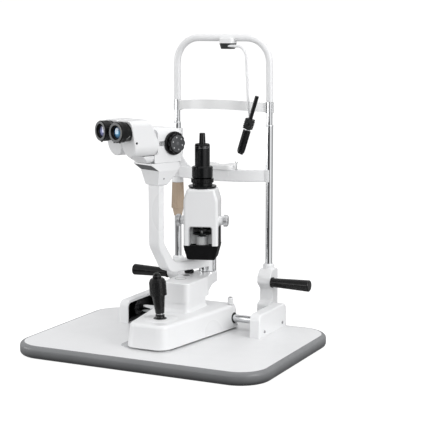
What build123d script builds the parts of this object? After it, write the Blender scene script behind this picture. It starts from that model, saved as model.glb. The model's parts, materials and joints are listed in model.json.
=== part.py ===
"""Slit lamp (ophthalmic biomicroscope) on its table board, in millimetres.

The origin is the centre of the board's underside. +Z is up, +Y points to the patient and +X
to the examiner's right. A "height" is measured from the board's top face. The microscope and
the lamp turn about one vertical axis, and their parts are drawn pointing straight at the
examiner: reach is the distance from that axis, side is to the right. They are swung last.
"""
import math
import os

from build123d import *

# ------------------------------------------------------------------ driving dimensions
board_width = 600.0
board_depth = 430.0
board_thickness = 28.0
board_corner = 70.0
edge_width = 10.0
insert_spacing = 140.0
insert_hole_r = 3.4

post_spacing = 240.0
post_y = 246.0
post_r = 8.25
post_upper_r = 6.6
post_step_height = 456.0
arc_tube_r = 8.0
arc_foot_height = 512.0
arc_top_height = 657.0
slide_fit = 0.08

rail_x = 168.0
axle_y = 126.0
axle_height = 25.0
axle_r = 8.75
journal_r = 5.0
gear_teeth = 24
gear_module = 1.5
gear_backlash = 0.4
rack_low, rack_high = 67.0, 209.0

base_height = 55.5
base_bottom = 4.0
pivot_y = 165.0
tower_top = 122.0
tower_seam = 78.0
spindle_r = 10.0
spindle_top = 190.0
stick_y = -67.0
ball_height = 66.0
ball_r = 7.6
stick_lean = (1.5, -4.0, 0.0)

scope_azimuth = -23.0
scope_axis_height = 429.0
drum_reach = 125.0
drum_r = 18.0
hub_r = 20.5
prism_side = 25.0
eyepiece_side = 25.0
eyepiece_root = 242.0
eyepiece_spread = 4.5
eyepiece_height = 461.0

lamp_azimuth = 18.0
lamp_reach = 76.0
lamp_bottom = 198.0
lamp_top = 326.0
lamp_half = 39.0
slit_shaft = (-82.0, 252.5)
disc_reach = 86.0

chin_bar_low, chin_bar_high = 327.0, 355.0
sleeve_low, sleeve_top = 251.0, 313.0
bow = 38.0
fixation_pivot = (91.0, 197.0, 464.0)
fixation_split = 645.0
fixation_swivel = (14.0, 245.0)


# ------------------------------------------------------------------ shape helpers
def up(height):
    """Z of a height above the board's top face."""
    return board_thickness + height


def block(x_span, y_span, h_span):
    spans = (x_span, y_span, (up(h_span[0]), up(h_span[1])))
    centre = [(low + high) / 2 for low, high in spans]
    size = [high - low for low, high in spans]
    return Pos(*centre) * Box(*size)


def rod_x(radius, x_span, y, height):
    middle = (x_span[0] + x_span[1]) / 2
    return Pos(middle, y, up(height)) * Rot(0, 90, 0) * Cylinder(radius, x_span[1] - x_span[0])


def rod_y(radius, y_span, x, height):
    middle = (y_span[0] + y_span[1]) / 2
    return Pos(x, middle, up(height)) * Rot(90, 0, 0) * Cylinder(radius, y_span[1] - y_span[0])


def rod_z(radius, h_span, x=0.0, y=0.0):
    middle = (h_span[0] + h_span[1]) / 2
    return Pos(x, y, up(middle)) * Cylinder(radius, h_span[1] - h_span[0])


def outline(points, radii=0.0):
    """Closed face through the points, with a corner radius for all or for each."""
    return make_face(FilletPolyline(*points, radius=radii, close=True))


def slab_x(points, radii, x_span):
    """Profile of (y, height) points, extruded along X."""
    face = outline([(y, up(height)) for y, height in points], radii)
    return extrude(Plane.YZ.offset(x_span[0]) * face, x_span[1] - x_span[0])


def slab_y(points, radii, y_span):
    """Profile of (x, height) points, extruded along Y."""
    face = outline([(x, up(height)) for x, height in points], radii)
    return extrude(Plane.XZ.offset(-y_span[1]) * face, y_span[1] - y_span[0])


def slab_z(points, radii, h_span, taper=0.0):
    """Plan of (x, y) points, extruded upwards."""
    face = outline(points, radii)
    return extrude(Plane.XY.offset(up(h_span[0])) * face, h_span[1] - h_span[0], taper=taper)


def ribbed_face(radius, ribs, depth):
    """Round face with straight grip ribs round its edge."""
    points = []
    pitch = 2 * math.pi / ribs
    for rib in range(ribs):
        for part, reach in ((0.0, radius), (0.45, radius), (0.6, radius - depth),
                            (0.85, radius - depth)):
            angle = (rib + part) * pitch
            points.append((reach * math.cos(angle), reach * math.sin(angle)))
    return outline(points)


def ribbed_rod_z(radius, ribs, depth, h_span, x=0.0, y=0.0):
    face = ribbed_face(radius, ribs, depth)
    return Pos(x, y, up(h_span[0])) * extrude(face, h_span[1] - h_span[0])


def ribbed_rod_x(radius, ribs, depth, x_span, y, height):
    face = ribbed_face(radius, ribs, depth)
    return Pos(x_span[0], y, up(height)) * Rot(0, 90, 0) * extrude(face, x_span[1] - x_span[0])


def turned(points):
    """Solid of revolution about the Z axis, from (radius, z) points."""
    return revolve(make_face(Polyline(*[(radius, 0, z) for radius, z in points], close=True)), Axis.Z)


def turned_z(points, x=0.0, y=0.0):
    """Solid of revolution about a vertical line, from (radius, height) points."""
    return Pos(x, y, up(0)) * turned(points)


def turned_x(points, y, height):
    """Solid of revolution about a line along X, from (x, radius) points."""
    face = make_face(Polyline(*[(x, radius, 0) for x, radius in points], close=True))
    return Pos(0, y, up(height)) * revolve(face, Axis.X)


def turned_y(points, x, height):
    """Solid of revolution about a line along Y, from (y, radius) points."""
    face = make_face(Polyline(*[(radius, y, 0) for y, radius in points], close=True))
    return Pos(x, 0, up(height)) * revolve(face, Axis.Y)


def both_sides(shape):
    """The shape and its mirror image across the middle plane."""
    return shape + mirror(shape, about=Plane.YZ)


def above(height):
    """Filter for edges whose middle lies above a height."""
    return lambda edge: edge.center().Z > up(height)


def upright_edges(shape):
    return shape.edges().filter_by(Axis.Z)


def save(name, shape):
    export_step(shape, f"parts/{name}.step")


# ------------------------------------------------------------------ table board
bolt_sides = (post_spacing / 2 - 8.5, post_spacing / 2 + 8.5)
bolt_height = -14.0
foot_front = board_depth / 2 + 0.3
foot_rear = 262.5


def edge_bolts(radius, y_span):
    """Rods where the bolts of the headrest feet enter the board's rear edge."""
    bolts = [rod_y(radius, y_span, x, bolt_height) for x in bolt_sides]
    return both_sides(bolts[0] + bolts[1])


insert_depth = (-board_thickness, -board_thickness + 15)


def insert_places(radius, h_span):
    """Rods where the instrument table's column bolts to the underside."""
    half = insert_spacing / 2
    right = rod_z(radius, h_span, half, half) + rod_z(radius, h_span, half, -half)
    return both_sides(right)


def table():
    inner_w = board_width - 2 * edge_width
    inner_d = board_depth - 2 * edge_width
    inner = RectangleRounded(inner_w, inner_d, board_corner - edge_width)
    outer = RectangleRounded(board_width, board_depth, board_corner)
    bolt_holes = edge_bolts(3.0, (190, foot_front + 1))
    board = extrude(inner, board_thickness) - bolt_holes - insert_places(6.0, insert_depth)
    band = extrude(outer - inner, board_thickness)
    rims = [face.outer_wire().edges() for face in band.faces().filter_by(Plane.XY)]
    band = fillet(rims[0] + rims[1], edge_width - 1) - bolt_holes
    save("table_board", board)
    save("edge_band", band)
    plate = Pos(-10, -84, up(0.75)) * extrude(RectangleRounded(124, 88, 22), 0.75, both=True)
    save("slide_plate", plate)


# ------------------------------------------------------------------ rails and their covers
cover_inner = rail_x - 12
cover_outer = rail_x + 12
cover_front = 62.0
cover_rear = 214.0
cover_height = 53.0
cover_screw_y = (88.0, 188.0)
cover_screw_height = 11.0


def rack_profile():
    """Side view of the toothed rail, with a gap between teeth under the axle."""
    pitch = math.pi * gear_module
    pitch_line = axle_height - gear_teeth * gear_module / 2
    tip = pitch_line + gear_module
    root = pitch_line - 1.3 * gear_module
    slope = math.tan(math.radians(20))
    half = (pitch - gear_backlash) / 4
    points = [(rack_low, 0.0), (rack_low, root)]
    first = math.ceil((rack_low + pitch / 2 - axle_y) / pitch) + 0.5
    centre = axle_y + first * pitch
    while centre + pitch / 2 < rack_high:
        for side in (-1, 1):
            foot = half + (pitch_line - root) * slope
            head = half - (tip - pitch_line) * slope
            ends = [(centre + side * foot, root), (centre + side * head, tip)]
            points += ends if side < 0 else reversed(ends)
        centre += pitch
    return points + [(rack_high, root), (rack_high, 0.0)]


def gear_outline():
    """Involute gear face with a tooth pointing along +X."""
    pressure = math.radians(20)
    pitch_r = gear_teeth * gear_module / 2
    base_r = pitch_r * math.cos(pressure)
    tip_r = pitch_r + gear_module
    root_r = pitch_r - 1.25 * gear_module
    half_tooth = (math.pi * gear_module - gear_backlash) / 4 / pitch_r
    base_half = half_tooth + math.tan(pressure) - pressure
    flank = [(root_r, base_half)]
    steps = 4
    for step in range(steps + 1):
        radius = base_r + (tip_r - base_r) * step / steps
        roll = math.acos(base_r / radius)
        flank.append((radius, base_half - math.tan(roll) + roll))
    points = []
    for tooth in range(gear_teeth):
        middle = 2 * math.pi * tooth / gear_teeth
        points += [(r * math.cos(middle - a), r * math.sin(middle - a)) for r, a in flank]
        points += [(r * math.cos(middle + a), r * math.sin(middle + a)) for r, a in reversed(flank)]
    return outline(points)


def rails():
    rack = slab_x(rack_profile(), 0.0, (rail_x - 7, rail_x + 5))
    wall = block((rail_x + 7, rail_x + 9), (rack_low, rack_high), (0, 35))
    floor = block((rail_x + 5, rail_x + 7), (rack_low, rack_high), (0, 3))
    save("rails", both_sides(rack + floor + wall))

    outside = [(cover_front, 0), (cover_front, cover_height), (cover_rear, cover_height),
               (cover_rear, 0)]
    shell = slab_x(outside, [0, 16, 16, 0], (cover_inner, cover_outer))
    outer_rim = shell.faces().sort_by(Axis.X)[-1].outer_wire().edges().filter_by(above(1))
    shell = fillet(outer_rim, 4)
    front, rear = cover_front + 3.5, cover_rear - 5
    inside = [(front, 0), (front, 47), (rear, 47), (rear, 0)]
    cover = shell - slab_x(inside, [0, 11, 11, 0], (cover_inner - 1, cover_outer - 3))
    for y in cover_screw_y:
        cover -= rod_x(1.6, (cover_outer - 5, cover_outer + 1), y, cover_screw_height)
    save("rail_covers", both_sides(cover))


# ------------------------------------------------------------------ headrest frame
post_x = post_spacing / 2
spigot_top = arc_foot_height + 16
handle_y = 226.0
handle_height = 93.5
handle_rod_r = 5.0


def feet_and_handles():
    profile = [(foot_front, -26), (foot_front, 42), (232, 50), (232, 76), (216, 91),
               (216.5, 107), (230, 123), (foot_rear, 123), (foot_rear, -26)]
    foot = slab_x(profile, [2, 6, 6, 10, 10, 12, 6, 6, 2], (post_x - 16.5, post_x + 16.5))
    sides = foot.faces().filter_by(Axis.X)
    foot = fillet(sides[0].outer_wire().edges() + sides[1].outer_wire().edges(), 1.9)
    collar = rod_z(13.3, (110, 134), post_x, post_y)
    foot += fillet(collar.edges().sort_by(Axis.Z)[-1], 3)
    foot -= rod_z(post_r, (60, 140), post_x, post_y)
    foot -= rod_x(handle_rod_r, (post_x - 8, post_x + 20), handle_y, handle_height)
    for x in bolt_sides:
        foot -= rod_y(3, (foot_front - 1, foot_rear), x, bolt_height)
        foot -= rod_y(5.5, (foot_rear - 6.5, foot_rear + 1), x, bolt_height)
    save("headrest_feet", both_sides(foot))

    inner, outer, end_r = post_x + 16.8, post_x + 112, 13.5
    turns = [math.radians(angle) for angle in (0, 30, 60, 90)]
    rounding = [(outer - 3 + 3 * math.sin(a), end_r - 3 + 3 * math.cos(a)) for a in turns]
    rim = [(inner, handle_rod_r), (inner, 12.2), (inner + 3.5, 12.2), (inner + 4.5, 10.6)]
    stub = [(outer, 0.0), (post_x - 8, 0.0), (post_x - 8, handle_rod_r)]
    save("handles", both_sides(turned_x(rim + rounding + stub, handle_y, handle_height)))


def stand_fasteners():
    """Table inserts, foot bolts and rail cover screws."""
    inserts = insert_places(6.0, insert_depth) - insert_places(insert_hole_r, insert_depth)
    shanks = edge_bolts(3.0, (195, foot_rear - 6.5))
    heads = edge_bolts(5.5, (foot_rear - 6.5, foot_rear - 0.5))
    heads -= edge_bolts(2.5, (foot_rear - 4, foot_rear))
    screws = Part()
    for y in cover_screw_y:
        head = rod_x(3.4, (cover_outer, cover_outer + 1.8), y, cover_screw_height)
        head = fillet(head.edges().sort_by(Axis.X)[-1], 1.2)
        head -= rod_x(1.3, (cover_outer + 0.6, cover_outer + 2), y, cover_screw_height)
        screws += head + rod_x(1.6, (cover_outer - 3, cover_outer), y, cover_screw_height)
    save("stand_fasteners", inserts + shanks + heads + both_sides(screws))


def posts():
    ring = post_step_height
    profile = [(0, 60), (post_r, 60), (post_r, ring), (post_upper_r + 0.6, ring + 3),
               (post_upper_r, ring + 3), (post_upper_r, spigot_top), (0, spigot_top)]
    save("posts", both_sides(turned_z(profile, post_x, post_y)))


def head_arc():
    foot_z, top_z = up(arc_foot_height), up(arc_top_height)
    corners = [(-post_x, post_y, foot_z), (-post_x + 1.5, post_y, top_z),
               (post_x - 1.5, post_y, top_z), (post_x, post_y, foot_z)]
    path = FilletPolyline(*corners, radius=57)
    section = Plane(origin=path @ 0, z_dir=path % 0) * (Circle(arc_tube_r) - Circle(post_upper_r))
    tube = sweep(section, path=path)
    save("head_arc", tube - both_sides(rod_z(post_upper_r, (500, spigot_top), post_x, post_y)))


def bowed_wall(inner_bow, outer_bow, half_span, end_y, h_span):
    """Upright wall whose plan is a shallow arc, bowed towards the examiner."""
    near = ThreePointArc((-half_span, end_y - (outer_bow - inner_bow) / 2), (0, end_y - outer_bow),
                         (half_span, end_y - (outer_bow - inner_bow) / 2))
    far = ThreePointArc((half_span, end_y + (outer_bow - inner_bow) / 2), (0, end_y - inner_bow),
                        (-half_span, end_y + (outer_bow - inner_bow) / 2))
    sides = [Line(near @ 1, far @ 0), Line(far @ 1, near @ 0)]
    face = make_face([near, sides[0], far, sides[1]])
    return Pos(0, 0, up(h_span[0])) * extrude(face, h_span[1] - h_span[0])


def forehead_rest():
    half = post_x - 9
    wall = bowed_wall(bow - 1.5, bow + 1.5, half, post_y, (480, 525))
    lower = ThreePointArc((-half, up(488)), (0, up(494)), (half, up(488)))
    upper = ThreePointArc((half, up(509)), (0, up(516)), (-half, up(509)))
    side = make_face([lower, Line(lower @ 1, upper @ 0), upper, Line(upper @ 1, lower @ 0)])
    window = extrude(Plane.XZ.offset(-300) * side, 200)
    lug = rod_z(10.2, (486, 511), post_x, post_y)
    lug += block((post_x - 15, post_x), (post_y - 6, post_y + 5), (488, 509))
    ends = lug.faces().sort_by(Axis.Z)
    lug = fillet(ends[-1].edges() + ends[0].edges(), 1)
    lugs = both_sides(lug)
    band = ((wall & window) - lugs) + lugs
    open_front = block((post_x - 7.5, post_x + 12), (post_y - 12, post_y + 0.5), (480, 520))
    open_front += rod_z(post_upper_r, (480, 520), post_x, post_y)
    save("forehead_band", band - both_sides(open_front))


def fixation_housing():
    """White saddle under the top tube, which the lamp's turntable hangs from."""
    face = Plane.XY.offset(up(fixation_split)) * (Pos(*fixation_swivel) * RectangleRounded(36, 32, 9))
    saddle = extrude(face, arc_top_height - fixation_split)
    saddle = fillet(saddle.faces().sort_by(Axis.Z)[-1].edges(), 2.5)
    saddle -= rod_x(arc_tube_r, (-60, 60), post_y, arc_top_height)
    save("fixation_housing", saddle - rod_z(7.05, (640, 650), *fixation_swivel))


# ------------------------------------------------------------------ fixation lamp on its bent arm
def fixation_lamp():
    swivel = rod_z(7.0, (638, 648.4), *fixation_swivel)
    px, py, ph = fixation_pivot
    wire = [(14, 237, up(638.8)), (76, 210.5, up(638.5)), (84, 206, up(505)), (px, 206, up(ph + 1))]
    path = FilletPolyline(*wire, radius=[30, 60])
    tube = sweep(Plane(origin=path @ 0, z_dir=path % 0) * Circle(3.2), path=path)
    eye = fillet(rod_y(8.5, (202.6, 209.5), px, ph).edges(), 1)
    pin = rod_y(2.5, (188, 203), px, ph)
    save("fixation_arm", tube + eye + pin)
    turntable_top = Pos(*fixation_swivel) * RectangleRounded(35.6, 31.6, 8.8)
    bottom = extrude(Plane.XY.offset(up(fixation_split - 0.4)) * turntable_top, -13, taper=16)
    bottom = fillet(bottom.faces().sort_by(Axis.Z)[0].edges(), 2)
    save("fixation_base", bottom + swivel - tube)

    lean = math.degrees(math.atan2(42, 132))
    frame = Pos(px, 195, up(ph)) * Rot(0, lean, 0)
    clamp = Box(20, 14, 25)
    clamp = fillet(clamp.edges().filter_by(Axis.Y), 3)
    for step in range(5):
        level = -9 + step * 4.5
        clamp -= Pos(0, -7, level) * Box(24, 2.4, 1.6)
        clamp -= Pos(10, 0, level) * Box(2.4, 16, 1.6)
        clamp -= Pos(-10, 0, level) * Box(2.4, 16, 1.6)
    bore = rod_y(2.56, (180, 210), px, ph)
    clamp = frame * (clamp - Cylinder(4.6, 40)) - bore
    stem = turned([(4.6, 12.4), (4.6, 66), (3.4, 66.8), (0, 66.8), (0, 2.8), (4.6, 2.8)])
    grip = extrude(ribbed_face(9, 20, 0.6), -46) - Cylinder(7, 120)
    tip = turned([(0, -12.6), (4.6, -12.6), (4.6, -18), (7, -18), (7, -62), (9, -62), (8.4, -68),
                  (6, -72), (0, -73.5)])
    save("fixation_lamp_body", clamp + frame * (stem + Pos(0, 0, -16) * grip + tip))


# ------------------------------------------------------------------ chin rest
def chin_rest():
    half = post_x - 6
    bar = bowed_wall(bow - 8, bow + 4, half, post_y - 2, (chin_bar_low, chin_bar_high))
    ends = bar.faces().sort_by(Axis.Z)
    bar = fillet(ends[-1].edges() + ends[0].edges(), 2.5)
    shelf = slab_z([(-38, 204), (38, 204), (34, 250), (-34, 250)], [6, 6, 14, 14],
                   (chin_bar_low + 12, chin_bar_high - 2))
    collar_right = rod_z(12, (chin_bar_low, chin_bar_high), post_x, post_y)
    collar_left = rod_z(13, (chin_bar_low, 443), -post_x, post_y)
    collars = fillet(collar_right.edges(), 1.5) + fillet(collar_left.edges(), 1.5)
    web = bowed_wall(bow - 5, bow + 1, half, post_y - 2, (chin_bar_low + 2, 450))
    corner = ThreePointArc((-post_x + 6, up(440)), (-post_x + 20, up(376)),
                           (-66, up(chin_bar_high - 3)))
    foot = Polyline((-66, up(chin_bar_high - 3)), (-66, up(340)), (-post_x - 4, up(340)),
                    (-post_x - 4, up(440)), (-post_x + 6, up(440)))
    web &= extrude(Plane.XZ.offset(-300) * make_face([corner, foot]), 200)
    frame = bar + shelf + collars + web
    for x in (-post_x, post_x):
        frame -= rod_z(post_r + slide_fit, (300, 470), x, post_y)
    frame -= block((post_x + 3, post_x + 20), (post_y - 20, post_y + 20), (300, 400))
    pin_x = 52.0
    pin_y = post_y - 2 - bow + 6
    collar = turned_z([(0, sleeve_top + 0.5), (13.2, sleeve_top + 0.5), (13.9, sleeve_top + 2),
                       (13.2, chin_bar_low), (0, chin_bar_low)], -post_x, post_y)
    collar -= rod_z(post_r + slide_fit, (300, 340), -post_x, post_y)
    pin_holes = both_sides(rod_z(1.6, (chin_bar_high - 10, chin_bar_high + 2), pin_x, pin_y))
    save("chin_rest_frame", frame + collar - pin_holes)
    pin = rod_z(1.6, (chin_bar_high - 10, 370), pin_x, pin_y)
    pin += rod_z(3.2, (chin_bar_high, chin_bar_high + 2), pin_x, pin_y)
    for angle in (-38, 38):
        pin += Pos(pin_x, pin_y, up(369)) * Rot(0, angle, 0) * Pos(0, 0, 3) * Cylinder(1.1, 7)
    save("paper_pins", both_sides(pin))

    cup = slab_z([(-44, 199), (44, 199), (40, 252), (-40, 252)], [14, 14, 20, 20], (chin_bar_high, 366))
    cup = fillet(cup.faces().sort_by(Axis.Z)[-1].edges(), 3)
    chin = Pos(0, 244, up(366 + 34)) * scale(Sphere(1), by=(40, 48, 40))
    seat = block((-60, 60), (190, 260), (340, chin_bar_high - 2))
    cup += slab_z([(-30, 222), (30, 222), (28, 244), (-28, 244)], 8,
                  (chin_bar_high - 2, chin_bar_high + 1))
    save("chin_cup", cup - chin - seat)


def height_sleeve():
    x = -post_x
    low, high = sleeve_low, sleeve_top
    bottom = Plane.XY.offset(up(low)) * ribbed_face(16, 24, 0.9)
    top = Plane.XY.offset(up(high)) * ribbed_face(13.8, 24, 0.8)
    body = Pos(x, post_y, 0) * loft([bottom, top], ruled=True)
    cone = turned_z([(0, low), (13.6, low), (10.2, 236), (9.9, 233), (0, 233)], x, post_y)
    rim = turned_z([(0, low), (15.4, low), (15.4, low + 1.5), (0, low + 1.5)], x, post_y)
    bore = rod_z(post_r + 0.35, (200, 320), x, post_y)
    save("height_sleeve", body + cone + rim - bore)


# ------------------------------------------------------------------ axle and gear wheels
def axle():
    end = rail_x - 5.5
    rod = rod_x(axle_r, (-end, end), axle_y, axle_height)
    rod += rod_x(journal_r, (-rail_x - 6, rail_x + 6), axle_y, axle_height)
    save("axle_rod", rod)
    face = gear_outline()
    gear = Pos(rail_x - 5, axle_y, up(axle_height)) * Rot(0, 90, 0) * extrude(face, 8)
    gear += rod_x(9, (rail_x - 5.3, rail_x + 4), axle_y, axle_height)
    gear -= rod_x(journal_r + 0.05, (rail_x - 20, rail_x + 20), axle_y, axle_height)
    for spoke in range(6):
        angle = math.radians(60 * spoke + 30)
        gear -= rod_x(2.2, (rail_x - 20, rail_x + 20), axle_y + 12.4 * math.cos(angle),
                      axle_height + 12.4 * math.sin(angle))
    save("gear_wheels", both_sides(gear))


# ------------------------------------------------------------------ sliding base
base_front_y, base_rear_y = -138.0, 155.0
bush_r = 13.0
bush_span = (52.0, 86.0)
lock_x, lock_y = 77.0, 128.0
neck_rear_y = 100.0
glide_y = -95.0
lift_screw_y = 52.0


def base_plan(inset):
    front, rear = 49.0 - inset, 96.0 - inset
    low, high = base_front_y + inset, base_rear_y - inset
    return [(-front, low), (front, low), (rear, high), (-rear, high)]


def base():
    taper = 7.0
    shell = slab_z(base_plan(0), [30, 30, 24, 24], (base_bottom, base_height), taper)
    shell = fillet(shell.faces().sort_by(Axis.Z)[-1].edges(), 8)
    cavity = slab_z(base_plan(4), [26, 26, 20, 20], (base_bottom - 1, base_height - 5), taper)
    shell -= cavity - block((-120, 120), (103, 160), (0, 60))
    shell += rod_z(8.5, (46, base_height), lock_x, lock_y)
    neck_plan = [(-31, 4), (31, 4), (31, neck_rear_y), (-31, neck_rear_y)]
    skirt_plan = [(-38, -3), (38, -3), (38, neck_rear_y + 6), (-38, neck_rear_y + 6)]
    skirt = slab_z(skirt_plan, 15, (base_height - 4, base_height + 9), 32)
    neck = slab_z(neck_plan, 10, (base_height - 2, 102))
    shell += neck + skirt
    shaft_plan = [(-26, 9), (26, 9), (26, neck_rear_y - 5), (-26, neck_rear_y - 5)]
    shell -= slab_z(shaft_plan, 5, (base_height - 6, 110))
    shell -= rod_x(bush_r, (-120, 120), axle_y, axle_height)
    shell -= rod_z(3.05, (30, 80), lock_x, lock_y)
    shell -= rod_z(8.5, (40, 70), 0, stick_y)
    shell -= block((-8, 8), (base_rear_y - 12, base_rear_y + 5), (20, 31))
    save("base_shell", shell)
    plate = slab_z(base_plan(5), [25, 25, 19, 19], (2.6, base_bottom))
    glide = fillet(rod_z(7, (1.9, 14), 0, glide_y).edges().sort_by(Axis.Z)[0], 1.5)
    save("base_plate", plate + glide + rod_z(10, (base_bottom, 12), 0, glide_y))
    bush = rod_x(bush_r, bush_span, axle_y, axle_height)
    bush -= rod_x(axle_r + 0.05, (0, 200), axle_y, axle_height)
    save("axle_bushes", both_sides(bush))
    inlet = block((-8, 8), (base_rear_y - 12, base_rear_y - 1.5), (20, 31))
    inlet -= rod_y(3.6, (base_rear_y - 9, base_rear_y + 2), 0, 25.5)
    save("power_inlet", inlet + rod_y(1.0, (base_rear_y - 9.5, base_rear_y - 3), 0, 25.5))
    screw_foot = rod_z(12, (base_bottom, 9), 0, lift_screw_y)
    save("lift_screw", screw_foot + rod_z(6, (base_bottom, 100), 0, lift_screw_y))
    head = ribbed_rod_z(6.6, 22, 0.5, (base_height + 1, base_height + 15), lock_x, lock_y)
    cap = turned_z([(0, base_height + 15), (6.0, base_height + 15), (5.0, base_height + 16.4),
                    (0, base_height + 17)], lock_x, lock_y)
    shank = rod_z(3.0, (axle_height + bush_r + 0.5, base_height + 1), lock_x, lock_y)
    save("lock_screw", head + cap + shank)


# ------------------------------------------------------------------ tower that rises and falls
knob_place = (-24.0, 118.0)


def tower():
    plan = [(-34, 0), (34, 0), (34, 99), (22, 165), (-22, 165), (-34, 99)]
    body = slab_z(plan, [13, 13, 30, 4, 4, 30], (tower_seam, tower_top))
    boss = rod_z(22, (tower_seam, tower_top), 0, pivot_y)
    body += boss
    under = slab_x([(104, 60), (104, 88), (114, 90), (132, 97), (200, 97), (200, 60)], 0.0, (-60, 60))
    body -= under
    body = fillet(body.faces().sort_by(Axis.Z)[-1].edges(), 2.5)
    neck_room = [(-31.6, 3.4), (31.6, 3.4), (31.6, neck_rear_y + 0.6), (-31.6, neck_rear_y + 0.6)]
    body -= slab_z(neck_room, 10.4, (60, 114))
    body -= rod_z(spindle_r, (99, 130), 0, pivot_y)
    body -= rod_z(3, (110, 125), *knob_place)
    save("tower_housing", body)
    nut = rod_z(13, (84, 114), 0, lift_screw_y) - rod_z(6.1, (70, 120), 0, lift_screw_y)
    spindle = rod_z(spindle_r, (99, spindle_top), 0, pivot_y) - rod_z(4, (172, 200), 0, pivot_y)
    cap = turned_z([(6.5, spindle_top), (13.5, spindle_top), (13.5, spindle_top + 5),
                    (12, spindle_top + 6.5), (6.5, spindle_top + 6.5)], 0, pivot_y)
    save("pivot_spindle", spindle + cap + nut)
    x, y = knob_place
    knob = ribbed_rod_z(11, 18, 0.8, (tower_top + 0.6, tower_top + 6), x, y)
    dome = turned_z([(0, tower_top + 6), (10.2, tower_top + 6), (9, tower_top + 8),
                     (6, tower_top + 9.4), (0, tower_top + 10)], x, y)
    save("arm_lock_knob", knob + dome + rod_z(2.9, (115, tower_top + 1), x, y))


# ------------------------------------------------------------------ joystick
def joystick():
    centre = Pos(0, stick_y, up(ball_height))
    ball = centre * (Sphere(ball_r) + Pos(0, 0, -13) * Cylinder(3.8, 14))
    save("joystick_ball", ball)
    lean = centre * Rot(*stick_lean)
    stick = turned([(0, 2), (9.8, 2), (14.0, 41), (12.5, 41.3), (8.0, 41.3), (8.0, 80), (9.6, 80),
                    (9.6, 84), (7.4, 86), (7.4, 89), (0, 89)])
    stick -= Sphere(ball_r + 0.3)
    stick -= Pos(0, 0, 86) * Cylinder(5.1, 12)
    save("joystick_stick", lean * stick)
    sleeve = extrude(ribbed_face(18.5, 30, 0.9), 30)
    upper = turned([(0, 30), (17.6, 30), (16.2, 35), (13.5, 37.4), (0, 37.4)])
    lower = turned([(0, -0.01), (17.8, -0.01), (17.8, 1.0), (0, 1.0)])
    sleeve = sleeve + upper + lower - Cylinder(8.08, 200)
    save("joystick_sleeve", lean * Pos(0, 0, 42) * sleeve)
    button = fillet(Cylinder(4.9, 9).edges().sort_by(Axis.Z)[-1], 1.5)
    save("joystick_button", lean * Pos(0, 0, 87.2) * button)


# ------------------------------------------------------------------ pieces that swing about the pivot
def swing(shape, azimuth):
    """Turn a piece drawn facing the examiner to its azimuth about the pivot axis."""
    return Pos(0, pivot_y, 0) * Rot(0, 0, azimuth) * shape


def side_slab(points, radii, side_span):
    """Profile of (reach, height) points, extruded sideways."""
    return slab_x([(-reach, height) for reach, height in points], radii, side_span)


def front_slab(points, radii, reach_span):
    """Profile of (side, height) points, extruded along the reach."""
    return slab_y(points, radii, (-reach_span[1], -reach_span[0]))


def reach_block(reach_span, side_span, h_span):
    return block(side_span, (-reach_span[1], -reach_span[0]), h_span)


def reach_rod(radius, reach_span, side, height):
    return rod_y(radius, (-reach_span[1], -reach_span[0]), side, height)


def scope(name, shape):
    save(name, swing(shape, scope_azimuth))


def scope_arm():
    hub = rod_z(hub_r, (tower_top + 0.5, 160))
    hub = fillet(hub.edges(), 1)
    scope("scope_hub", hub - rod_z(spindle_r + 0.05, (100, 200)))
    profile = [(0, 134), (126, 134), (159, 196), (159, 336), (142, 336), (142, 204), (112, 157),
               (0, 157)]
    arm = side_slab(profile, [0, 26, 40, 0, 0, 26, 20, 0], (-19, 19))
    sides = arm.faces().filter_by(Axis.X)
    arm = fillet(sides[0].outer_wire().edges() + sides[1].outer_wire().edges(), 3.5)
    arm -= rod_z(hub_r, (100, 200)) + reach_block((-30, 0), (-30, 30), (100, 200))
    scope("scope_arm", arm)

    seen_from_front = [(-22, 335), (22, 335), (33, 369), (33, 387), (-33, 387), (-33, 369)]
    seen_from_side = [(137, 335), (163, 335), (167.5, 369.5), (187, 383), (187, 387), (110, 387),
                      (110, 372)]
    head = front_slab(seen_from_front, [7, 7, 4, 0, 0, 4], (100, 190))
    head &= side_slab(seen_from_side, [6, 4, 0, 0, 0, 4, 12], (-40, 40))
    head -= reach_block((142, 159), (-19, 19), (330, 336))
    scope("scope_head", head)


def scope_body():
    half = 31.0
    body_back, body_front = 104.0, 178.0
    body_low, body_high = 387.0, 467.0
    seen_from_side = [(body_back, body_low), (body_front, body_low), (body_front, body_high),
                      (body_back, body_high - 6)]
    seen_from_front = [(-half, 380), (half, 380), (half, body_high), (-half, body_high)]
    box = side_slab(seen_from_side, [3, 3, 5, 9], (-half, half))
    box &= front_slab(seen_from_front, [0, 0, 22, 22], (body_back - 1, body_front + 1))
    shelf_top = 404.5
    shelf = side_slab([(176, body_low), (188.5, body_low), (211, shelf_top), (176, shelf_top)],
                      [0, 4, 2, 0], (-32, 32))
    shelf &= front_slab([(-30, body_low), (30, body_low), (30, shelf_top), (-30, shelf_top)],
                        [16, 16, 0, 0], (170, 220))
    box += shelf
    box -= rod_x(drum_r + 0.3, (-40, 40), -drum_reach, scope_axis_height)
    box -= reach_rod(17, (90, 120), 0, scope_axis_height)
    for side in (-prism_side, prism_side):
        box -= reach_rod(8, (150, 190), side, scope_axis_height + 1)

    ring = turned_y([(-106.3, 15), (-106.3, 16.9), (-104, 16.9), (-104, 29.5), (-102.5, 31),
                     (-97, 31), (-95, 29), (-95, 22), (-99, 17.5), (-101, 15)], 0, scope_axis_height)
    scope("objective_ring", ring)
    plate = reach_block((178, 181.4), (-47, 47), (408, 462))
    plate = fillet(plate.edges().filter_by(Axis.Y), 10)
    for side in (-prism_side, prism_side):
        plate += reach_rod(13.9, (181.4, 191), side, scope_axis_height + 1)
        plate -= reach_rod(9, (170, 200), side, scope_axis_height + 1)
    scope("scope_body", box + plate)


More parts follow.
